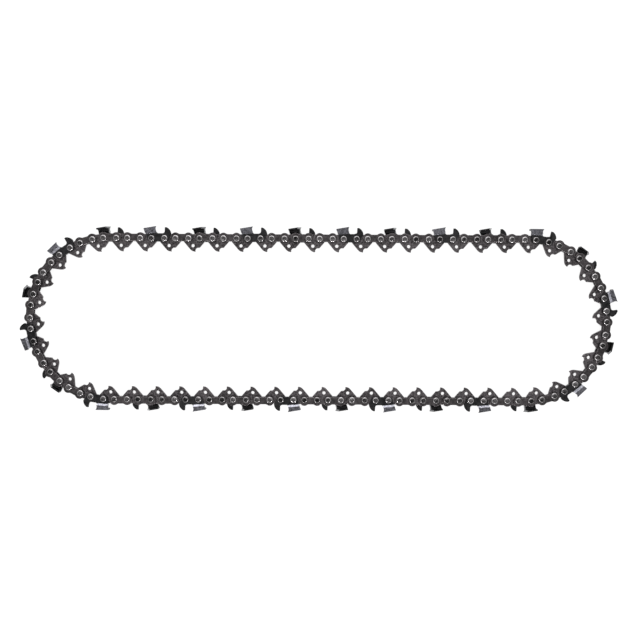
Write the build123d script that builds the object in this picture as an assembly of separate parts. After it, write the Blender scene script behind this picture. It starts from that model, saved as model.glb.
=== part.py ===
from build123d import *
import math
import os

# A closed loop of low-profile saw chain, lying on its side. All sizes are in millimetres.
# The loop lies in the XY plane and travels clockwise seen from +Z, so every link's own +X is its
# direction of travel, its own +Y points out of the loop and its own +Z is the chain's right-hand side.
# The origin is the middle of the loop, on the surface that the left-hand cutters rest on.

# Make-up: a set is four drive links with a left cutter, a right cutter and two pairs of straps
cutter_sets = 14
links_per_set = 4

# Pitch, rivet to rivet
drive_pitch = 8.60
outer_pitch = 10.04

# Rest shape: the length of this many rivets bends at each end of the loop, a little tighter where it
# starts and stops, and the chain has travelled this far round its own path
bending_rivets = 21
shoulder_share = 0.03
travelled = 1.08

# Plate thicknesses and running clearances
drive_thickness = 1.27
plate_thickness = 1.20
side_play = 0.05
hub_play = 0.05
shank_fit = 0.02

# Rivet
hub_radius = 2.50
shank_radius = 2.00
head_radius = 2.60
head_flat_radius = 1.70
head_height = 0.90

# Drive link: its flat top lies this far below the crown of its ends, and depths go down from the rivets
drive_end_radius = 4.50
drive_top_drop = 1.00
tang_depth = 10.10
tang_rear_angle = 50.0
tang_front_angle = 49.0
heel_radius = 5.00
heel_turn = 40.0
tip_width = 1.05
hook_hollow = 0.75
toe_depth = 7.10
toe_width = 1.50
toe_radius = 0.70
tang_hole_radius = 1.25
tang_hole_depth = 5.45
tang_hole_behind = 1.03

# Tie strap, which is also the foot of a cutter: its ends are set above the rivets, and its waist lies
# inside the crown and the foot of its ends
strap_end_radius = 3.60
strap_end_rise = 1.05
waist_drop_top = 1.15
waist_drop_bottom = 0.45
waist_blend_radius = 1.60

# Cutter's upper outline: along travel from its own rear or front rivet, and up from the rivet line
back_behind = 4.40
back_height = 3.60
shoulder_ahead = 4.20
shoulder_height = 5.00
shoulder_radius = 0.60
gullet_ahead = 4.75
gullet_height = 3.90
gullet_radius = 0.80
gauge_back_ahead = 0.30
gauge_throat_radius = 1.75
gauge_tip_ahead = 0.45
gauge_tip_width = 1.40
gauge_height = 8.60
gauge_front_bulge = 0.75
gauge_foot_ahead = 5.25
gauge_foot_height = 3.75

# Cutter's tooth: side plate and top plate bent from one sheet, with the same references. The side plate
# is ground flat, which takes this much off it.
tooth_ahead = 4.45
tooth_behind = 5.85
tooth_height = 9.45
tooth_waist_behind = 4.90
tooth_waist_height = 4.85
top_plate_angle = 9.5
top_plate_reach = 1.30
side_plate_reach = 3.05
side_grind = 0.10
side_plate_front = 3.80
side_plate_back = 3.08
corner_radius = 0.40
corner_inside_radius = 0.30

# The flare that carries the side plate outward starts this far above the rivet's head
flare_start_front = 1.50
flare_start_back = 0.55

# Sharpening: the round file that leaves the tooth's hooked cutting edge
file_radius = 3.05
file_centre_depth = 2.15
file_angle = 30.0

# Worked-out places
link_count = cutter_sets * links_per_set
half_loop_rivets = link_count
half_set = links_per_set // 2
half_drive = drive_pitch / 2
half_outer = outer_pitch / 2
mean_pitch = half_drive + half_outer
plate_inner = drive_thickness / 2 + side_play
plate_outer = plate_inner + plate_thickness
head_top = plate_outer + head_height
rest_height = max(side_plate_reach, head_top)
sheet_reach = side_plate_reach + side_grind
drive_top = drive_end_radius - drive_top_drop
strap_waist_top = strap_end_rise + strap_end_radius - waist_drop_top
foot_depth = strap_end_radius - strap_end_rise
strap_waist_bottom = foot_depth - waist_drop_bottom


def bend_made(along):
    # share of the half turn that is made by this share of the bend's length
    along = min(max(along, 0), 1)
    return along + shoulder_share * math.sin(2 * math.pi * along) / (2 * math.pi)


def half_loop_turns():
    # degrees at each rivet of half the loop: a straight run, then the half turn
    straight_run = half_loop_rivets - bending_rivets
    turns = []
    for index in range(half_loop_rivets):
        place = index - straight_run + travelled / mean_pitch
        turns.append(180 * (bend_made((place + 1) / bending_rivets) - bend_made(place / bending_rivets)))
    return turns


def walk_the_loop():
    # rivet centres and the heading of the link that leaves each; outer and drive links alternate
    point = Vector(0, 0, 0)
    heading = 0.0
    rivets = []
    headings = []
    for index, turn in enumerate(half_loop_turns() * 2):
        rivets.append(point)
        headings.append(heading)
        pitch = outer_pitch if index % 2 == 0 else drive_pitch
        point = point + Vector(pitch, 0, 0).rotate(Axis.Z, heading)
        heading -= turn
    to_origin = Vector(0, 0, rest_height) - (rivets[0] + rivets[half_loop_rivets]) / 2
    return [rivet + to_origin for rivet in rivets], headings


def link_places(rivets, headings):
    # each link stands at the middle of its two rivets, turned to its heading
    places = []
    for index, heading in enumerate(headings):
        following = rivets[(index + 1) % len(rivets)]
        places.append(Location((rivets[index] + following) / 2, (0, 0, heading)))
    return places


def round_from(centre, radius, angle):
    return Vector(centre) + Vector(radius, 0, 0).rotate(Axis.Z, angle)


def rivet_holes(half_pitch, radius):
    return Pos(-half_pitch, 0) * Circle(radius) + Pos(half_pitch, 0) * Circle(radius)


def outer_plate(outline):
    # a plate on the chain's right-hand side, with its two rivet holes
    face = outline - rivet_holes(half_outer, shank_radius + shank_fit)
    return extrude(Pos(0, 0, plate_inner) * face, plate_thickness)


def drive_link():
    # ends round about the rivets, flanks tangent to them, and a tang that hooks forward
    rear = (-half_drive, 0, 0)
    front = (half_drive, 0, 0)
    top_angle = math.degrees(math.asin(drive_top / drive_end_radius))
    rear_top = round_from(rear, drive_end_radius, 180 - top_angle)
    rear_low = round_from(rear, drive_end_radius, 270 - tang_rear_angle)
    front_top = round_from(front, drive_end_radius, top_angle)
    front_low = round_from(front, drive_end_radius, tang_front_angle - 90)
    flank = Vector(1, 0, 0).rotate(Axis.Z, -tang_rear_angle)
    heel_end_slope = math.radians(tang_rear_angle - heel_turn)
    heel_drop = heel_radius * (math.cos(heel_end_slope) - math.cos(math.radians(tang_rear_angle)))
    heel = rear_low + flank * ((rear_low.Y + tang_depth - heel_drop) / -flank.Y)
    toe_back = (front_low.Y + toe_depth) / math.tan(math.radians(tang_front_angle))
    toe = Vector(front_low.X - toe_back, -toe_depth, 0)
    with BuildSketch() as outline:
        with BuildLine():
            Line(rear_top, front_top)
            ThreePointArc(front_top, round_from(front, drive_end_radius, 0), front_low)
            heel_arc = JernArc(heel, flank, heel_radius, heel_turn)
            tip = heel_arc @ 1 + Vector(tip_width, 0, 0)
            hook = toe - Vector(toe_width, 0, 0)
            Line(heel_arc @ 1, tip)
            SagittaArc(tip, hook, hook_hollow)
            FilletPolyline(hook, toe, front_low, radius=toe_radius)
            Line(heel, rear_low)
            ThreePointArc(rear_low, round_from(rear, drive_end_radius, 180), rear_top)
        make_face()
    face = outline.sketch - rivet_holes(half_drive, hub_radius + hub_play)
    face -= Pos(-tang_hole_behind, -tang_hole_depth) * Circle(tang_hole_radius)
    return extrude(Pos(0, 0, -drive_thickness / 2) * face, drive_thickness)


def strap_outline():
    # two round ends, set a little above the rivets, joined by a narrower waist
    ends = Pos(0, strap_end_rise) * rivet_holes(half_outer, strap_end_radius)
    waist_height = strap_waist_top + strap_waist_bottom
    waist_middle = (strap_waist_top - strap_waist_bottom) / 2
    outline = ends + Pos(0, waist_middle) * Rectangle(outer_pitch, waist_height)
    corners = outline.vertices().filter_by(lambda corner: abs(corner.X) < half_outer)
    return fillet(corners, waist_blend_radius)


def cutter_outline():
    # a strap's foot without its lower waist, with the back and shoulder that carry the tooth, the gullet
    # and the depth gauge
    back = (-half_outer - back_behind, back_height)
    shoulder = (-half_outer + shoulder_ahead, shoulder_height)
    gullet = (-half_outer + gullet_ahead, gullet_height)
    throat = (half_outer + gauge_back_ahead - gauge_throat_radius, gullet_height)
    tip_back = (half_outer + gauge_tip_ahead, gauge_height)
    tip_front = (half_outer + gauge_tip_ahead + gauge_tip_width, gauge_height)
    foot = (half_outer + gauge_foot_ahead, gauge_foot_height)
    end = half_outer + strap_end_radius
    with BuildSketch() as upper:
        with BuildLine():
            Line((-end, strap_end_rise), back)
            FilletPolyline(back, shoulder, gullet, throat, radius=[shoulder_radius, gullet_radius])
            rise = JernArc(throat, (1, 0), gauge_throat_radius, 90)
            Polyline(rise @ 1, tip_back, tip_front)
            SagittaArc(tip_front, foot, gauge_front_bulge)
            Polyline(foot, (end, strap_end_rise), (half_outer, -foot_depth))
            Polyline((half_outer, -foot_depth), (-half_outer, -foot_depth), (-end, strap_end_rise))
        make_face()
    return strap_outline() + upper.sketch


def tooth_skin(height, flare_bottom, flare_top, inward, bend_radius):
    # one face of the sheet: up from the foot, out by the flare, up again and over the chain
    flare_angle = math.atan2(sheet_reach - plate_outer, flare_top - flare_bottom)
    mitre = inward * math.tan(flare_angle / 2)
    return FilletPolyline(
        (head_radius, plate_outer - inward),
        (flare_bottom + mitre, plate_outer - inward),
        (flare_top + mitre, sheet_reach - inward),
        (height - inward, sheet_reach - inward),
        (height - inward, -top_plate_reach),
        radius=[0, 0, bend_radius],
    )


def tooth_section(along, height, flare_start, side_plate):
    flare_bottom = head_radius + flare_start
    flare_top = height - side_plate
    with BuildSketch(Plane.YZ.offset(along)) as section:
        with BuildLine():
            outside = tooth_skin(height, flare_bottom, flare_top, 0, corner_radius)
            inside = tooth_skin(height, flare_bottom, flare_top, plate_thickness, corner_inside_radius)
            Line(outside @ 0, inside @ 0)
            Line(outside @ 1, inside @ 1)
        make_face()
    return section.sketch


def file_sweep():
    # the space the round file clears along its slanted stroke through the tooth's front corner
    corner = (-half_outer + tooth_ahead, tooth_height, side_plate_reach)
    slant = math.radians(file_angle)
    stroke = Vector(math.sin(slant), 0, math.cos(slant))
    ahead = Vector(math.cos(slant), 0, -math.sin(slant))
    edge_to_centre = math.sqrt(file_radius**2 - file_centre_depth**2)
    end = Plane(corner, ahead, stroke) * Pos(edge_to_centre, -file_centre_depth) * Circle(file_radius)
    return extrude(end, tooth_ahead + tooth_behind, both=True)


def tooth():
    # lofted from a large front section to a smaller back one, ground flat on its side and trimmed behind
    front = -half_outer + tooth_ahead
    back = -half_outer - tooth_behind
    back_top = tooth_height - (front - back) * math.tan(math.radians(top_plate_angle))
    front_section = tooth_section(front, tooth_height, flare_start_front, side_plate_front)
    back_section = tooth_section(back, back_top, flare_start_back, side_plate_back)
    behind = Polyline(
        (back, back_top),
        (-half_outer - tooth_waist_behind, tooth_waist_height),
        (-half_outer - back_behind, back_height),
        (-half_outer - back_behind, strap_end_rise),
        (back, strap_end_rise),
        close=True,
    )
    trim = extrude(make_face(behind), side_plate_reach, both=True)
    sheet = loft([front_section, back_section], ruled=True)
    ground = split(sheet, Plane.XY.offset(side_plate_reach), keep=Keep.BOTTOM)
    return ground - trim


def right_cutter():
    # foot and tooth in one, filed together
    return outer_plate(cutter_outline()) + tooth() - file_sweep()


def rivet():
    # a hub between the outer plates, a shank through each and a coned head outside each
    upper_half = [
        (hub_radius, plate_inner),
        (shank_radius, plate_inner),
        (shank_radius, plate_outer),
        (head_radius, plate_outer),
        (head_flat_radius, head_top),
        (0, head_top),
    ]
    lower_half = [(across, -height) for across, height in reversed(upper_half)]
    profile = make_face(Plane.XZ * Polyline(*upper_half, *lower_half, close=True))
    return revolve(profile, Axis.Z)


def save(name, solids):
    export_step(Compound(children=solids), f"parts/{name}.step")


def main():
    os.makedirs("parts", exist_ok=True)
    rivets, headings = walk_the_loop()
    places = link_places(rivets, headings)
    outer_places = places[0::2]
    drive_places = places[1::2]
    drive = drive_link()
    right_strap = outer_plate(strap_outline())
    left_strap = mirror(right_strap, Plane.XY)
    right_tooth = right_cutter()
    left_tooth = mirror(right_tooth, Plane.XY)
    for index in range(cutter_sets):
        first = index * links_per_set
        set_outer = outer_places[first:first + links_per_set]
        set_drive = drive_places[first:first + links_per_set]
        at_left_cutter = set_outer[0]
        at_right_cutter = set_outer[half_set]
        straps = [at_left_cutter * right_strap, at_right_cutter * left_strap]
        for place in set_outer[1:half_set] + set_outer[half_set + 1:]:
            straps += [place * right_strap, place * left_strap]
        number = f"{index + 1:02d}"
        save(f"left_cutter_{number}", [at_left_cutter * left_tooth])
        save(f"right_cutter_{number}", [at_right_cutter * right_tooth])
        save(f"tie_straps_{number}", straps)
        save(f"drive_links_{number}", [place * drive for place in set_drive])
    pin = rivet()
    save("rivets", [Pos(*point) * pin for point in rivets])


main()
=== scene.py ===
import bmesh
import bpy
import math
import random
from mathutils import Matrix, Vector


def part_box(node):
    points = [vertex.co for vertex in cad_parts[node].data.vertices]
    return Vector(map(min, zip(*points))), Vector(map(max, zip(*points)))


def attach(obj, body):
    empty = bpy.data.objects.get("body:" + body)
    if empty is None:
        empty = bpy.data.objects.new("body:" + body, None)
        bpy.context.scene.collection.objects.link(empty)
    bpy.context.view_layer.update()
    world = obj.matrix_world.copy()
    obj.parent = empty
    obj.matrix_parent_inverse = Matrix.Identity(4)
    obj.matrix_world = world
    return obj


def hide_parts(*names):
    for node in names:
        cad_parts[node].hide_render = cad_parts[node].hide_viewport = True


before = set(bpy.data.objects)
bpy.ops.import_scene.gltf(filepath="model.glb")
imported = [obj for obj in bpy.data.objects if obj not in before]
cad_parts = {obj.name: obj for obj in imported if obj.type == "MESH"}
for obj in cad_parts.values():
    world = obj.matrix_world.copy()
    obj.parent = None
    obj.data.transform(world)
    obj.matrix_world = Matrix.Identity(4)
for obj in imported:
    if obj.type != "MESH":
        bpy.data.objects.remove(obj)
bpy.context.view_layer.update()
print("frame:", len(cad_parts), "solid nodes")

# The chain's make-up and rest shape, in millimetres
chain = {
    "sets": 14,              # one left and one right cutter in each
    "linksPerSet": 4,
    "drivePitch": 8.60,
    "outerPitch": 10.04,
    "bendingRivets": 21,     # how many rivets' length bends at each end of the loop
    "shoulderShare": 0.03,   # how much tighter than an even round each bend begins and ends
    "travelled": 1.08,       # how far the chain has run on round the loop
    "driveThickness": 1.27,
    "plateThickness": 1.20,
    "sidePlay": 0.05,
    "toneSeed": 11,          # links differ a little in tone
}
toMetres = 0.001
quarterTurn = math.pi / 2
linkCount = chain["sets"] * chain["linksPerSet"]
halfDrive = chain["drivePitch"] / 2
halfOuter = chain["outerPitch"] / 2
meanPitch = halfDrive + halfOuter
plateInner = chain["driveThickness"] / 2 + chain["sidePlay"]
plateOuter = plateInner + chain["plateThickness"]
rivetLow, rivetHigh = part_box("rivets")
restHeight = (rivetLow.z + rivetHigh.z) / 2 / toMetres


def bendMade(along):
    # share of the half turn that is made by this share of the bend's length
    along = min(max(along, 0), 1)
    return along + chain["shoulderShare"] * math.sin(math.tau * along) / math.tau


def loopTurns():
    bend = chain["bendingRivets"]
    turns = []
    for index in range(linkCount):
        place = index - linkCount + bend + chain["travelled"] / meanPitch
        turns.append(math.pi * (bendMade((place + 1) / bend) - bendMade(place / bend)))
    return turns * 2


def walkLoop():
    # rivet middles and the heading of the link that leaves each, outer and drive links by turns
    point = Vector((0, 0, 0))
    heading = 0.0
    rivets = []
    headings = []
    for index, turn in enumerate(loopTurns()):
        rivets.append(point)
        headings.append(heading)
        step = chain["drivePitch"] if index % 2 else chain["outerPitch"]
        point = point + Vector((step * math.cos(heading), step * math.sin(heading), 0))
        heading -= turn
    toOrigin = Vector((0, 0, restHeight)) - (rivets[0] + rivets[linkCount]) / 2
    return [rivet + toOrigin for rivet in rivets], headings


def linkPlaces(rivets, headings):
    places = []
    for index, heading in enumerate(headings):
        middle = (rivets[index] + rivets[(index + 1) % len(rivets)]) / 2
        places.append(Matrix.Translation(middle) @ Matrix.Rotation(heading, 4, "Z"))
    return places


rivetPoints, linkHeadings = walkLoop()
allPlaces = linkPlaces(rivetPoints, linkHeadings)
outerPlaces = allPlaces[0::2]
drivePlaces = allPlaces[1::2]
toneDraw = random.Random(chain["toneSeed"])
print("loop:", len(rivetPoints), "rivets")

# Drawing outlines: each stroke goes on from the last vertex and returns the new last one
roundStep = math.radians(14)
fewestSteps = 2
mergeDistance = 0.001
rimSteps = ((0.3, 0.7), (0.7, 0.3))    # how much of a rim's edge each step goes across and up


def onlyKind(parts, kind):
    return [part for part in parts if isinstance(part, kind)]


def drawLine(bm, last, point):
    made = bmesh.ops.extrude_vert_indiv(bm, verts=[last])["verts"][0]
    made.co = Vector(point).to_3d()
    return made


def drawArc(bm, last, centre, turn, axis=(0, 0, 1)):
    steps = max(fewestSteps, round(abs(turn) / roundStep))
    made = bmesh.ops.spin(
        bm, geom=[last], cent=Vector(centre).to_3d(), axis=axis, angle=turn, steps=steps)
    return onlyKind(made["geom_last"], bmesh.types.BMVert)[0]


def drawBow(bm, last, point, bow):
    # an arc to the point that stands off its chord by bow, to the left where bow is positive
    start = last.co.xy
    chord = Vector(point) - start
    radius = chord.length_squared / (8 * abs(bow)) + abs(bow) / 2
    left = Vector((-chord.y, chord.x)).normalized()
    centre = start + chord / 2 - left * math.copysign(radius - abs(bow), bow)
    turn = -math.copysign(2 * math.asin(chord.length / (2 * radius)), bow)
    return drawArc(bm, last, centre, turn)


def drawCorner(bm, last, corner, following, radius):
    # a line towards the corner and a round turn there, ready to go on to the following point
    inward = (Vector(corner) - last.co.xy).normalized()
    outward = (Vector(following) - Vector(corner)).normalized()
    turn = -inward.angle_signed(outward)    # angle_signed counts clockwise
    begin = Vector(corner) - inward * radius * math.tan(abs(turn) / 2)
    side = math.copysign(radius, turn)
    centre = begin + Vector((-inward.y, inward.x)) * side
    return drawArc(bm, drawLine(bm, last, begin), centre, turn)


def around(centre, radius, angle):
    return Vector((centre[0] + radius * math.cos(angle), centre[1] + radius * math.sin(angle)))


def drawHole(bm, centre, radius):
    place = Matrix.Translation(Vector(centre).to_3d())
    segments = round(math.tau / roundStep / 2) * 2
    bmesh.ops.create_circle(bm, cap_ends=False, segments=segments, radius=radius, matrix=place)


def thicken(bm, faces, height):
    # makes a solid of the faces and returns those on top
    raised = bmesh.ops.extrude_face_region(bm, geom=faces)["geom"]
    bmesh.ops.translate(bm, verts=onlyKind(raised, bmesh.types.BMVert), vec=(0, 0, height))
    bmesh.ops.recalc_face_normals(bm, faces=bm.faces[:])
    return onlyKind(raised, bmesh.types.BMFace)


def plateFrom(bm, low, high, edge, rimSlot):
    # fills the outline round its holes, gives it thickness, and rounds its rims over in two steps
    bmesh.ops.remove_doubles(bm, verts=bm.verts[:], dist=mergeDistance)
    bmesh.ops.translate(bm, verts=bm.verts[:], vec=(0, 0, low + edge))
    filled = bmesh.ops.triangle_fill(bm, use_beauty=True, edges=bm.edges[:], normal=(0, 0, 1))
    lowFaces = onlyKind(filled["geom"], bmesh.types.BMFace)
    highFaces = thicken(bm, lowFaces, high - low - 2 * edge)
    for faces in (lowFaces, highFaces):
        for across, up in rimSteps:
            rim = bmesh.ops.inset_region(
                bm, faces=faces, thickness=edge * across, depth=edge * up,
                use_boundary=True, use_even_offset=True)
            for face in rim["faces"]:
                face.material_index = rimSlot


def prismFrom(bm, half):
    # a solid from a closed outline, to both sides of its plane
    bmesh.ops.remove_doubles(bm, verts=bm.verts[:], dist=mergeDistance)
    filled = bmesh.ops.edgeloop_fill(bm, edges=bm.edges[:])
    bmesh.ops.translate(bm, verts=bm.verts[:], vec=(0, 0, -half))
    thicken(bm, filled["faces"], 2 * half)


def meshFrom(bm, name):
    mesh = bpy.data.meshes.new(name)
    bm.to_mesh(mesh)
    bm.free()
    return mesh


def mirrored(mesh):
    # the left-hand twin of a right-hand shape
    bm = bmesh.new()
    bm.from_mesh(mesh)
    bmesh.ops.transform(bm, matrix=Matrix.Scale(-1, 4, (0, 0, 1)), verts=bm.verts[:])
    bmesh.ops.recalc_face_normals(bm, faces=bm.faces[:])
    return meshFrom(bm, mesh.name + "_left")


def addObject(name, data):
    added = bpy.data.objects.new(name, data)
    bpy.context.scene.collection.objects.link(added)
    return added


# Drive link: two bored ends, and a tang that hooks forward under a round hole
driveLink = {
    "endRadius": 4.50,
    "topDrop": 1.00,         # its top lies this far below the height of its round ends
    "hubHole": 2.55,
    "tangDepth": 10.10,
    "rearAngle": 50.0,
    "frontAngle": 49.0,
    "heelRadius": 5.00,
    "heelTurn": 40.0,
    "tipWidth": 1.05,
    "hookHollow": 0.75,
    "toeDepth": 7.10,
    "toeWidth": 1.50,
    "toeRadius": 0.70,
    "oilHoleRadius": 1.25,
    "oilHoleDepth": 5.45,
    "oilHoleBehind": 1.03,
    "edge": 0.14,
    "finish": ("driveSteel", "driveEdge"),
    "toneSpread": 0.05,
    "sharpAngle": 20,
}


def makeDriveLink():
    size = driveLink
    rear = (-halfDrive, 0)
    front = (halfDrive, 0)
    endRadius = size["endRadius"]
    topAngle = math.asin((endRadius - size["topDrop"]) / endRadius)
    rearAngle = math.radians(size["rearAngle"])
    frontAngle = math.radians(size["frontAngle"])
    heelTurn = math.radians(size["heelTurn"])
    frontLow = around(front, endRadius, frontAngle - quarterTurn)
    toeBack = (frontLow.y + size["toeDepth"]) / math.tan(frontAngle)
    toe = Vector((frontLow.x - toeBack, -size["toeDepth"]))
    hook = toe - Vector((size["toeWidth"], 0))
    rearLow = around(rear, endRadius, 3 * quarterTurn - rearAngle)
    flank = Vector((math.cos(rearAngle), -math.sin(rearAngle)))
    heelDrop = size["heelRadius"] * (math.cos(rearAngle - heelTurn) - math.cos(rearAngle))
    heel = rearLow + flank * ((rearLow.y + size["tangDepth"] - heelDrop) / math.sin(rearAngle))
    heelCentre = heel + Vector((-flank.y, flank.x)) * size["heelRadius"]
    heelEnd = around(heelCentre, size["heelRadius"], heelTurn - rearAngle - quarterTurn)
    tip = heelEnd + Vector((size["tipWidth"], 0))
    bm = bmesh.new()
    last = bm.verts.new(around(rear, endRadius, math.pi - topAngle).to_3d())
    last = drawLine(bm, last, around(front, endRadius, topAngle))
    last = drawArc(bm, last, front, frontAngle - quarterTurn - topAngle)
    last = drawCorner(bm, last, toe, hook, size["toeRadius"])
    last = drawLine(bm, last, hook)
    last = drawBow(bm, last, tip, -size["hookHollow"])
    last = drawLine(bm, last, heelEnd)
    last = drawArc(bm, last, heelCentre, -heelTurn)
    last = drawLine(bm, last, rearLow)
    drawArc(bm, last, rear, -quarterTurn - (topAngle - rearAngle))
    for centre in (rear, front):
        drawHole(bm, centre, size["hubHole"])
    drawHole(bm, (-size["oilHoleBehind"], -size["oilHoleDepth"]), size["oilHoleRadius"])
    half = chain["driveThickness"] / 2
    plateFrom(bm, -half, half, size["edge"], size["finish"].index("driveEdge"))
    return meshFrom(bm, "driveLink")


# Tie strap, whose rounded ends and rivet holes a cutter's foot shares
tieStrap = {
    "endRadius": 3.60,
    "endRise": 1.05,         # the ends are round about a point this far above the rivets
    "waistDropTop": 1.15,
    "waistDropBottom": 0.45,
    "blendRadius": 1.60,
    "shankHole": 2.02,
    "edge": 0.16,
    "finish": ("strapSteel", "strapEdge"),
    "toneSpread": 0.05,
    "sharpAngle": 20,
}
strapEnd = halfOuter + tieStrap["endRadius"]
waistTop = tieStrap["endRise"] + tieStrap["endRadius"] - tieStrap["waistDropTop"]
waistBottom = tieStrap["endRise"] - tieStrap["endRadius"] + tieStrap["waistDropBottom"]


def blendCentre(waist, away):
    # centre of the round that leads from a strap's end into its waist, for the front end
    reach = tieStrap["endRadius"] + tieStrap["blendRadius"]
    height = waist + away * tieStrap["blendRadius"]
    across = math.sqrt(reach ** 2 - (height - tieStrap["endRise"]) ** 2)
    return Vector((halfOuter - across, height))


def drawOverTop(bm, last):
    # over the strap from its rear end to its front end
    rise = tieStrap["endRise"]
    blend = blendCentre(waistTop, 1)
    lean = math.atan2(blend.y - rise, halfOuter - blend.x)
    last = drawArc(bm, last, (-halfOuter, rise), lean - math.pi)
    last = drawArc(bm, last, (-blend.x, blend.y), quarterTurn - lean)
    last = drawLine(bm, last, (blend.x, waistTop))
    last = drawArc(bm, last, blend, quarterTurn - lean)
    return drawArc(bm, last, (halfOuter, rise), lean - math.pi)


def drawUnderFoot(bm, last):
    # round the front end, back along the foot and round the rear end
    rise = tieStrap["endRise"]
    blend = blendCentre(waistBottom, -1)
    lean = math.atan2(rise - blend.y, halfOuter - blend.x)
    last = drawArc(bm, last, (halfOuter, rise), lean - math.pi)
    last = drawArc(bm, last, blend, quarterTurn - lean)
    last = drawLine(bm, last, (-blend.x, waistBottom))
    last = drawArc(bm, last, (-blend.x, blend.y), quarterTurn - lean)
    return drawArc(bm, last, (-halfOuter, rise), lean - math.pi)


def drawStraightFoot(bm, last):
    # the same way round, with no waist
    rise = tieStrap["endRise"]
    last = drawArc(bm, last, (halfOuter, rise), -quarterTurn)
    last = drawLine(bm, last, (-halfOuter, rise - tieStrap["endRadius"]))
    return drawArc(bm, last, (-halfOuter, rise), -quarterTurn)


def drawRivetHoles(bm):
    for along in (-halfOuter, halfOuter):
        drawHole(bm, (along, 0), tieStrap["shankHole"])


def makeTieStrap():
    bm = bmesh.new()
    last = bm.verts.new((-strapEnd, tieStrap["endRise"], 0))
    last = drawOverTop(bm, last)
    drawUnderFoot(bm, last)
    drawRivetHoles(bm)
    rimSlot = tieStrap["finish"].index("strapEdge")
    plateFrom(bm, plateInner, plateOuter, tieStrap["edge"], rimSlot)
    return meshFrom(bm, "tieStrap")


# Cutter, right hand: its foot with gullet and depth gauge, and the plated tooth bent from sheet
cutter = {
    "backBehind": 4.40,
    "backHeight": 3.60,
    "shoulderAhead": 4.20,
    "shoulderHeight": 5.00,
    "shoulderRadius": 0.60,
    "gulletAhead": 4.75,
    "gulletHeight": 3.90,
    "gulletRadius": 0.80,
    "gaugeBackAhead": 0.30,
    "gaugeThroatRadius": 1.75,
    "gaugeTipAhead": 0.45,
    "gaugeTipWidth": 1.40,
    "gaugeHeight": 8.60,
    "gaugeFrontBulge": 0.75,
    "gaugeFootAhead": 5.25,
    "gaugeFootHeight": 3.75,
    "toothAhead": 4.45,
    "toothFootBack": 0.38,   # the front of the sheet stands back by this much below its flare
    "toothBehind": 5.85,
    "toothHeight": 9.45,
    "toothWaistBehind": 4.90,
    "toothWaistHeight": 4.85,
    "topPlateAngle": 9.5,
    "topPlateReach": 1.30,
    "sidePlateReach": 3.05,
    "sideGrind": 0.10,       # the side plate is ground flat by this much
    "sidePlateFront": 3.80,
    "sidePlateBack": 3.08,
    "cornerRadius": 0.40,
    "cornerInside": 0.30,
    "rootHeight": 2.60,
    "flareStartFront": 1.50,
    "flareStartBack": 0.55,
    "fileRadius": 3.05,
    "fileAcross": 2.30,      # its hollow is shallower along the chain than a full round
    "fileDepth": 2.15,
    "fileAngle": 30.0,
    "fileSegments": 72,
    "edge": 0.10,
    "sunk": 0.02,            # the sheet's root lies this far inside the foot's faces
    "grindTolerance": 0.0001,
    "weldDistance": 0.002,
    "finish": ("cutterBlackWithShade", "cutterChrome", "groundSteel", "cutterEdge"),
    "toneSpread": 0.05,
    "sharpAngle": 20,
}
toothFront = -halfOuter + cutter["toothAhead"]
toothBack = -halfOuter - cutter["toothBehind"]
toothDrop = (toothFront - toothBack) * math.tan(math.radians(cutter["topPlateAngle"]))
toothBackTop = cutter["toothHeight"] - toothDrop
footBackEdge = -halfOuter - cutter["backBehind"]


def makeCutterFoot():
    size = cutter
    shoulder = (-halfOuter + size["shoulderAhead"], size["shoulderHeight"])
    gullet = (-halfOuter + size["gulletAhead"], size["gulletHeight"])
    throat = (halfOuter + size["gaugeBackAhead"] - size["gaugeThroatRadius"], size["gulletHeight"])
    throatCentre = (throat[0], size["gulletHeight"] + size["gaugeThroatRadius"])
    tipBack = halfOuter + size["gaugeTipAhead"]
    gaugeFoot = (halfOuter + size["gaugeFootAhead"], size["gaugeFootHeight"])
    bm = bmesh.new()
    last = bm.verts.new((-strapEnd, tieStrap["endRise"], 0))
    last = drawLine(bm, last, (footBackEdge, size["backHeight"]))
    last = drawCorner(bm, last, shoulder, gullet, size["shoulderRadius"])
    last = drawCorner(bm, last, gullet, throat, size["gulletRadius"])
    last = drawLine(bm, last, throat)
    last = drawArc(bm, last, throatCentre, quarterTurn)
    last = drawLine(bm, last, (tipBack, size["gaugeHeight"]))
    last = drawLine(bm, last, (tipBack + size["gaugeTipWidth"], size["gaugeHeight"]))
    last = drawBow(bm, last, gaugeFoot, size["gaugeFrontBulge"])
    last = drawLine(bm, last, (strapEnd, tieStrap["endRise"]))
    drawStraightFoot(bm, last)
    drawRivetHoles(bm)
    plateFrom(bm, plateInner, plateOuter, size["edge"], size["finish"].index("cutterEdge"))
    return meshFrom(bm, "cutterFoot")


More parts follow.
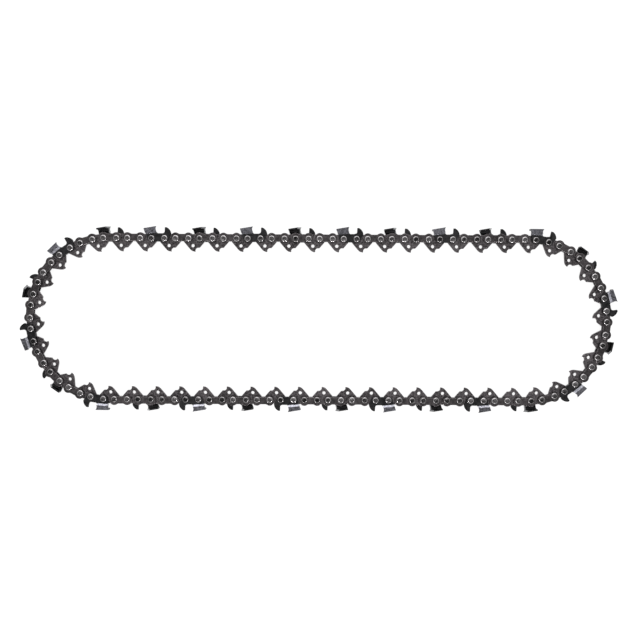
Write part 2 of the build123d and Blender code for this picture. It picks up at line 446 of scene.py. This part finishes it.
def drawToothSection(bm, along, height, flareStart, sidePlate, footBack):
    # one end of the sheet: its outer skin up from the foot, out by the flare and over the chain, and
    # its inner skin back again; gives the vertices of the outer skin
    size = cutter
    thick = chain["plateThickness"]
    root = plateOuter - size["sunk"]
    rootInside = plateInner + size["sunk"]
    reach = size["sidePlateReach"] + size["sideGrind"]
    overChain = -size["topPlateReach"]
    corner = size["cornerRadius"]
    inside = size["cornerInside"]
    flareBottom = size["rootHeight"] + flareStart
    flareTop = height - sidePlate
    mitre = thick * math.tan(math.atan2(reach - root, flareTop - flareBottom) / 2)
    foot = along - footBack
    before = len(bm.verts)
    first = bm.verts.new((foot, size["rootHeight"], root))
    last = drawLine(bm, first, (foot, flareBottom, root))
    last = drawLine(bm, last, (foot, flareTop, reach))
    last = drawLine(bm, last, (along, height - corner, reach))
    last = drawArc(bm, last, (along, height - corner, reach - corner), -quarterTurn, axis=(1, 0, 0))
    last = drawLine(bm, last, (along, height, overChain))
    outer = bm.verts[before:]
    under = height - thick
    behind = reach - thick
    last = drawLine(bm, last, (along, under, overChain))
    last = drawLine(bm, last, (along, under, behind - inside))
    last = drawArc(bm, last, (along, under - inside, behind - inside), quarterTurn, axis=(1, 0, 0))
    last = drawLine(bm, last, (foot, flareTop + mitre, behind))
    last = drawLine(bm, last, (foot, flareBottom + mitre, rootInside))
    last = drawLine(bm, last, (foot, size["rootHeight"], rootInside))
    bmesh.ops.contextual_create(bm, geom=[last, first])
    return outer


def makeToothSheet():
    size = cutter
    plated = size["finish"].index("cutterChrome")
    bm = bmesh.new()
    outer = drawToothSection(
        bm, toothFront, size["toothHeight"],
        size["flareStartFront"], size["sidePlateFront"], size["toothFootBack"])
    outer += drawToothSection(
        bm, toothBack, toothBackTop, size["flareStartBack"], size["sidePlateBack"], 0)
    bmesh.ops.bridge_loops(bm, edges=bm.edges[:])
    # the outer skin is plated; the inner skin keeps the first finish, black oxide with painted shade
    for face in bm.faces:
        if all(vert in outer for vert in face.verts):
            face.material_index = plated
    bmesh.ops.holes_fill(bm, edges=[edge for edge in bm.edges if edge.is_boundary])
    ground = bmesh.ops.bisect_plane(
        bm, geom=bm.verts[:] + bm.edges[:] + bm.faces[:], dist=size["grindTolerance"],
        plane_co=(0, 0, size["sidePlateReach"]), plane_no=(0, 0, 1), clear_outer=True)
    rim = onlyKind(ground["geom_cut"], bmesh.types.BMEdge)
    for face in bmesh.ops.edgeloop_fill(bm, edges=rim)["faces"]:
        face.material_index = plated
    bmesh.ops.recalc_face_normals(bm, faces=bm.faces[:])
    return meshFrom(bm, "toothSheet")


def makeBackTrim():
    # what is cut away behind the tooth's slanting back
    size = cutter
    farBack = toothBack - 2 * size["backBehind"]
    bm = bmesh.new()
    last = bm.verts.new((toothBack, toothBackTop, 0))
    last = drawLine(bm, last, (-halfOuter - size["toothWaistBehind"], size["toothWaistHeight"]))
    last = drawLine(bm, last, (footBackEdge, size["backHeight"]))
    last = drawLine(bm, last, (footBackEdge, tieStrap["endRise"]))
    last = drawLine(bm, last, (farBack, tieStrap["endRise"]))
    last = drawLine(bm, last, (farBack, toothBackTop))
    drawLine(bm, last, (toothBack, toothBackTop))
    prismFrom(bm, 2 * size["sidePlateReach"])
    return meshFrom(bm, "backTrim")


def makeFileCut():
    # the round file on its slanted stroke through the tooth's front corner
    size = cutter
    flatten = size["fileAcross"] / size["fileRadius"]
    toCentre = flatten * math.sqrt(size["fileRadius"] ** 2 - size["fileDepth"] ** 2)
    slant = Matrix.Rotation(math.radians(size["fileAngle"]), 4, "Y")
    corner = Matrix.Translation((toothFront, size["toothHeight"], size["sidePlateReach"]))
    centre = Matrix.Translation((toCentre, -size["fileDepth"], 0))
    stroke = corner @ slant @ centre @ Matrix.Diagonal((flatten, 1, 1, 1))
    bm = bmesh.new()
    bmesh.ops.create_cone(
        bm, cap_ends=True, segments=size["fileSegments"],
        radius1=size["fileRadius"], radius2=size["fileRadius"],
        depth=2 * (size["toothAhead"] + size["toothBehind"]), matrix=stroke)
    for face in bm.faces:
        face.material_index = size["finish"].index("groundSteel")
    return meshFrom(bm, "fileCut")


def makeCutter():
    # the sheet is trimmed and joined to its foot, and both are filed together
    tools = {}
    for mesh in (makeCutterFoot(), makeToothSheet(), makeBackTrim(), makeFileCut()):
        for finishName in cutter["finish"]:
            mesh.materials.append(None)    # only a place for it, which the finished piece fills
        tools[mesh.name] = addObject(mesh.name, mesh)
    sheet = tools["toothSheet"]
    steps = (("DIFFERENCE", "backTrim"), ("UNION", "cutterFoot"), ("DIFFERENCE", "fileCut"))
    for operation, tool in steps:
        cut = sheet.modifiers.new(tool, "BOOLEAN")
        cut.operation = operation
        cut.object = tools[tool]
        cut.solver = "EXACT"
        cut.material_mode = "INDEX"
    joined = sheet.evaluated_get(bpy.context.evaluated_depsgraph_get())
    bm = bmesh.new()
    bm.from_mesh(joined.data)
    for tool in tools.values():
        bpy.data.objects.remove(tool)
    bmesh.ops.remove_doubles(bm, verts=bm.verts[:], dist=cutter["weldDistance"])
    bmesh.ops.recalc_face_normals(bm, faces=bm.faces[:])
    return meshFrom(bm, "cutter")


# Rivet: hub, shanks and two spun heads with a shallow hollow
rivet = {
    "hubRadius": 2.50,
    "shankRadius": 2.00,
    "segments": 16,
    "headProfile": (         # radius, and height above the plate
        (2.60, 0.00), (2.55, 0.28), (2.40, 0.46), (2.20, 0.635), (2.00, 0.76), (1.80, 0.845),
        (1.60, 0.90), (1.30, 0.80), (0.00, 0.74)),
    "highlightRing": (1.75, 2.35),    # the ring of the head that is painted lighter, as a painted highlight
    "highlightAbove": 0.45,       # and only where it stands higher than this above the plate
    "finish": ("rivetSteel", "rivetHighlightRing"),
    "toneSpread": 0.16,
    "sharpAngle": 50,
}


def makeRivet():
    half = [(rivet["hubRadius"], 0), (rivet["hubRadius"], plateInner)]
    half += [(rivet["shankRadius"], plateInner), (rivet["shankRadius"], plateOuter)]
    half += [(radius, plateOuter + height) for radius, height in rivet["headProfile"]]
    bm = bmesh.new()
    last = bm.verts.new((half[0][0], 0, half[0][1]))
    for radius, height in half[1:]:
        last = drawLine(bm, last, (radius, 0, height))
    bmesh.ops.mirror(bm, geom=bm.verts[:] + bm.edges[:], axis="Z", merge_dist=mergeDistance)
    bmesh.ops.spin(
        bm, geom=bm.verts[:] + bm.edges[:], axis=(0, 0, 1), cent=(0, 0, 0),
        angle=math.tau, steps=rivet["segments"], use_merge=True)
    bmesh.ops.remove_doubles(bm, verts=bm.verts[:], dist=mergeDistance)
    bmesh.ops.recalc_face_normals(bm, faces=bm.faces[:])
    # the ring faces high on each head take the lighter finish, a painted highlight
    inner, outer = rivet["highlightRing"]
    for face in bm.faces:
        middle = face.calc_center_median()
        onHead = abs(middle.z) > plateOuter + rivet["highlightAbove"]
        if onHead and inner < middle.xy.length < outer:
            face.material_index = rivet["finish"].index("rivetHighlightRing")
    return meshFrom(bm, "rivet")


driveShape = makeDriveLink()
strapRight = makeTieStrap()
strapLeft = mirrored(strapRight)
cutterRight = makeCutter()
cutterLeft = mirrored(cutterRight)
rivetShape = makeRivet()
allShapes = (driveShape, strapRight, strapLeft, cutterRight, cutterLeft, rivetShape)
for shape in allShapes:
    print("shape:", shape.name, len(shape.polygons), "faces")


# Building shader nodes, for the finishes and the studio
def newFinish(name, metallic, roughness):
    finish = bpy.data.materials.new(name)
    finish.use_nodes = True
    shader = finish.node_tree.nodes["Principled BSDF"]
    shader.inputs["Metallic"].default_value = metallic
    shader.inputs["Roughness"].default_value = roughness
    return finish, shader


def addNode(tree, kind, inputs):
    node = tree.nodes.new(kind)
    for name, value in inputs.items():
        node.inputs[name].default_value = value
    return node


def addMath(tree, operation, *entries):
    # each entry is another node's output or a number
    node = tree.nodes.new("ShaderNodeMath")
    node.operation = operation
    for entry, socket in zip(entries, node.inputs):
        if isinstance(entry, bpy.types.NodeSocket):
            tree.links.new(entry, socket)
        else:
            socket.default_value = entry
    return node.outputs["Value"]


# Finishes: a dark and a light tone in soft patches, and a fine grain; patch and grain in millimetres
mottle = {
    "toneEnds": (0.36, 0.66),    # where in the noise the dark tone ends and the light one begins
    "patchDetail": 4.0,
    "grainDetail": 3.0,
    "noiseRoughness": 0.6,
    "grainDepth": 0.02,
}
steels = {
    "driveSteel": {
        "tones": ((0.0200, 0.0180, 0.0188), (0.1150, 0.1045, 0.1095)),
        "metallic": 0.9, "roughness": 0.38, "patch": 1.3, "grain": 0.25, "bump": 0.3},
    "driveEdge": {
        "tones": ((0.060, 0.053, 0.055), (0.190, 0.170, 0.178)),
        "metallic": 0.9, "roughness": 0.36, "patch": 1.0, "grain": 0.25, "bump": 0.2},
    "strapSteel": {
        "tones": ((0.0255, 0.0230, 0.0239), (0.0700, 0.0630, 0.0656)),
        "metallic": 0.9, "roughness": 0.36, "patch": 2.0, "grain": 0.25, "bump": 0.2},
    "strapEdge": {
        "tones": ((0.060, 0.054, 0.056), (0.160, 0.146, 0.150)),
        "metallic": 0.9, "roughness": 0.32, "patch": 1.0, "grain": 0.25, "bump": 0.2},
    # the cutter's foot and the tooth's inner skin: black oxide, darkened further as painted shade
    "cutterBlackWithShade": {
        "tones": ((0.010, 0.010, 0.0105), (0.028, 0.0275, 0.029)),
        "metallic": 0.9, "roughness": 0.32, "patch": 2.0, "grain": 0.2, "bump": 0.2},
    "cutterEdge": {
        "tones": ((0.016, 0.016, 0.017), (0.046, 0.045, 0.047)),
        "metallic": 0.9, "roughness": 0.32, "patch": 1.0, "grain": 0.2, "bump": 0.2},
    "cutterChrome": {
        "tones": ((0.050, 0.050, 0.056), (0.216, 0.216, 0.242)),
        "metallic": 1.0, "roughness": 0.22, "patch": 1.1, "grain": 0.15, "bump": 0.15},
    "groundSteel": {
        "tones": ((0.190, 0.190, 0.195), (0.320, 0.320, 0.327)),
        "metallic": 1.0, "roughness": 0.22, "patch": 0.8, "grain": 0.12, "bump": 0.2},
    "rivetSteel": {
        "tones": ((0.006, 0.006, 0.006), (0.100, 0.095, 0.097)),
        "metallic": 0.9, "roughness": 0.28, "patch": 1.1, "grain": 0.2, "bump": 0.2},
    # the lighter ring on each rivet head: a painted highlight
    "rivetHighlightRing": {
        "tones": ((0.125, 0.120, 0.121), (0.235, 0.227, 0.230)),
        "metallic": 1.0, "roughness": 0.18, "patch": 1.0, "grain": 0.2, "bump": 0.10},
}


def addNoise(tree, coords, size, detail):
    inputs = {"Scale": 1 / (size * toMetres), "Detail": detail, "Roughness": mottle["noiseRoughness"]}
    noise = addNode(tree, "ShaderNodeTexNoise", inputs)
    tree.links.new(coords, noise.inputs["Vector"])
    return noise.outputs["Fac"]


def mottledSteel(name, look):
    # each link's own tone shifts it a little towards the dark or the light one
    finish, shader = newFinish(name, look["metallic"], look["roughness"])
    tree = finish.node_tree
    coords = tree.nodes.new("ShaderNodeTexCoord").outputs["Object"]
    patches = addNoise(tree, coords, look["patch"], mottle["patchDetail"])
    grain = addNoise(tree, coords, look["grain"], mottle["grainDetail"])
    tone = tree.nodes.new("ShaderNodeAttribute")
    tone.attribute_name = "linkTone"
    ramp = tree.nodes.new("ShaderNodeValToRGB")
    for stop, position, colour in zip(ramp.color_ramp.elements, mottle["toneEnds"], look["tones"]):
        stop.position = position
        stop.color = (*colour, 1)
    depth = mottle["grainDepth"] * toMetres
    relief = addNode(tree, "ShaderNodeBump", {"Strength": look["bump"], "Distance": depth})
    tree.links.new(addMath(tree, "ADD", patches, tone.outputs["Fac"]), ramp.inputs["Fac"])
    tree.links.new(ramp.outputs["Color"], shader.inputs["Base Color"])
    tree.links.new(grain, relief.inputs["Height"])
    tree.links.new(relief.outputs["Normal"], shader.inputs["Normal"])
    return finish


finishes = {name: mottledSteel(name, look) for name, look in steels.items()}
print("finishes:", len(finishes))


def addPiece(node, shapes, settings):
    # one piece for a node of solids: each shape copied to its place on the loop
    bm = bmesh.new()
    tones = bm.faces.layers.float.new("linkTone")
    for shape, place in shapes:
        copied = shape.copy()
        copied.transform(Matrix.Scale(toMetres, 4) @ place)
        before = len(bm.faces)
        bm.from_mesh(copied)
        bpy.data.meshes.remove(copied)
        bm.faces.ensure_lookup_table()
        tone = toneDraw.uniform(-settings["toneSpread"], settings["toneSpread"])
        for face in bm.faces[before:]:
            face[tones] = tone
            face.smooth = True
    mesh = meshFrom(bm, "finished_" + node)
    for name in settings["finish"]:
        mesh.materials.append(finishes[name])
    mesh.set_sharp_from_angle(angle=math.radians(settings["sharpAngle"]))
    piece = addObject("finished_" + node, mesh)
    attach(piece, "root")
    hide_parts(node)


# In each set the cutters stand on its first outer link and on the one halfway, on opposite sides
halfSet = chain["linksPerSet"] // 2
for index in range(chain["sets"]):
    number = f"{index + 1:02d}"
    first = index * chain["linksPerSet"]
    setOuter = outerPlaces[first:first + chain["linksPerSet"]]
    setDrive = drivePlaces[first:first + chain["linksPerSet"]]
    cutters = (("left", cutterLeft, setOuter[0]), ("right", cutterRight, setOuter[halfSet]))
    straps = [(strapRight, setOuter[0]), (strapLeft, setOuter[halfSet])]
    for place in setOuter[1:halfSet] + setOuter[halfSet + 1:]:
        straps += [(strapRight, place), (strapLeft, place)]
    drives = [(driveShape, place) for place in setDrive]
    for hand, shape, place in cutters:
        addPiece(f"{hand}_cutter_{number}", [(shape, place)], cutter)
    addPiece("tie_straps_" + number, straps, tieStrap)
    addPiece("drive_links_" + number, drives, driveLink)
rivets = [(rivetShape, Matrix.Translation(point)) for point in rivetPoints]
addPiece("rivets", rivets, rivet)
for shape in allShapes:
    bpy.data.meshes.remove(shape)

# Floor, light and camera, in metres
studio = {
    "frameWidth": 0.5009,        # across the picture at the chain's height
    "distance": 0.47,            # from the camera to the loop's middle
    "sensor": 36.0,              # in millimetres
    "chainLeft": 0.00123,        # the loop's middle lies this far left of the picture's middle
    "chainUp": 0.00006,
    "roll": 0.26,                # degrees that the chain is turned clockwise in the picture
    "tilt": 2.46,                # degrees that the camera leans towards the picture's top
    "sky": (0.59, 0.83),         # strength towards the picture's bottom and top
    "skyEdge": 0.30,             # how far from straight above it reaches those, as a sine
    "band": (0.38, 0.47, 0.62, 0.70),    # a brighter band low round the sky, as sines of its height
    "bandGlow": 2.0,
    "floorReach": 6.0,
    "floorColour": (0.86, 0.86, 0.86),
    "floorRoughness": 0.9,
    "floorGlow": 0.88,           # how much of the floor is plain white to the camera
    "floorWhite": 1.03,
    "panel": {"place": (0.0, 0.80, 0.22), "size": (1.8, 0.34), "power": 9.0},
    "key": {"place": (0.0, 0.50, 0.70), "size": (0.6, 0.3), "power": 2.4},
    "lamps": {"place": (0.285, -0.446, 0.444), "size": (0.09, 0.09), "power": 2.0},
}


def seenDirectly(tree):
    # one for camera, glossy and transmission rays, nothing for the rest
    paths = tree.nodes.new("ShaderNodeLightPath").outputs
    either = addMath(tree, "MAXIMUM", paths["Is Camera Ray"], paths["Is Glossy Ray"])
    return addMath(tree, "MAXIMUM", either, paths["Is Transmission Ray"])


def makeWorld():
    # a plain sky, brighter towards the picture's top and in a band low round it
    world = bpy.data.worlds.new("studioWorld")
    bpy.context.scene.world = world
    world.use_nodes = True
    tree = world.node_tree
    background = tree.nodes["Background"].inputs
    white = (1, 1, 1, 1)
    coords = tree.nodes.new("ShaderNodeTexCoord")
    parts = tree.nodes.new("ShaderNodeSeparateXYZ")
    shade = addNode(tree, "ShaderNodeMapRange", {
        "From Min": -studio["skyEdge"], "From Max": studio["skyEdge"],
        "To Min": studio["sky"][0], "To Max": studio["sky"][1]})
    band = tree.nodes.new("ShaderNodeValToRGB")
    low, full, fading, high = studio["band"]
    stops = band.color_ramp.elements
    stops[0].position = low
    stops[1].position = high
    stops[1].color = (0, 0, 0, 1)
    stops.new(full).color = white
    stops.new(fading).color = white
    total = addMath(
        tree, "MULTIPLY_ADD", band.outputs["Color"], studio["bandGlow"], shade.outputs["Result"])
    tree.links.new(coords.outputs["Generated"], parts.inputs["Vector"])
    tree.links.new(parts.outputs["Y"], shade.inputs["Value"])
    tree.links.new(parts.outputs["Z"], band.inputs["Fac"])
    tree.links.new(total, background["Strength"])
    background["Color"].default_value = white


def makeFloor():
    bm = bmesh.new()
    bmesh.ops.create_grid(bm, x_segments=1, y_segments=1, size=studio["floorReach"])
    floor = addObject("floor", meshFrom(bm, "floor"))
    finish, shader = newFinish("paleFloor", 0.0, studio["floorRoughness"])
    shader.inputs["Base Color"].default_value = (*studio["floorColour"], 1)
    tree = finish.node_tree
    white = addNode(tree, "ShaderNodeEmission", {"Strength": studio["floorWhite"]})
    share = addMath(tree, "MULTIPLY", seenDirectly(tree), studio["floorGlow"])
    mix = tree.nodes.new("ShaderNodeMixShader")
    tree.links.new(share, mix.inputs["Fac"])
    tree.links.new(shader.outputs["BSDF"], mix.inputs[1])
    tree.links.new(white.outputs["Emission"], mix.inputs[2])
    tree.links.new(mix.outputs["Shader"], tree.nodes["Material Output"].inputs["Surface"])
    floor.data.materials.append(finish)


def addLight(name, side=1):
    # aimed at the loop's middle; a side of -1 mirrors its place to the picture's left
    across, up, above = studio[name]["place"]
    place = Vector((side * across, up, above))
    data = bpy.data.lights.new(name, "AREA")
    data.shape = "RECTANGLE"
    data.size, data.size_y = studio[name]["size"]
    data.energy = studio[name]["power"]
    light = addObject(name, data)
    light.location = place
    light.rotation_euler = (-place).to_track_quat("-Z", "Y").to_euler()


def makeCamera():
    data = bpy.data.cameras.new("camera")
    data.lens = studio["distance"] * studio["sensor"] / studio["frameWidth"]
    data.sensor_width = studio["sensor"]
    camera = addObject("camera", data)
    aim = Vector((studio["chainLeft"], -studio["chainUp"], restHeight * toMetres))
    roll = Matrix.Rotation(math.radians(studio["roll"]), 3, "Z")
    tilt = Matrix.Rotation(math.radians(-studio["tilt"]), 3, "X")
    camera.location = aim + roll @ tilt @ Vector((0, 0, studio["distance"]))
    camera.rotation_euler = (roll @ tilt).to_euler()
    bpy.context.scene.camera = camera


makeWorld()
makeFloor()
addLight("panel")
addLight("key")
for side in (-1, 1):
    addLight("lamps", side)
makeCamera()
bpy.context.scene.view_settings.view_transform = "Standard"
print("studio ready")
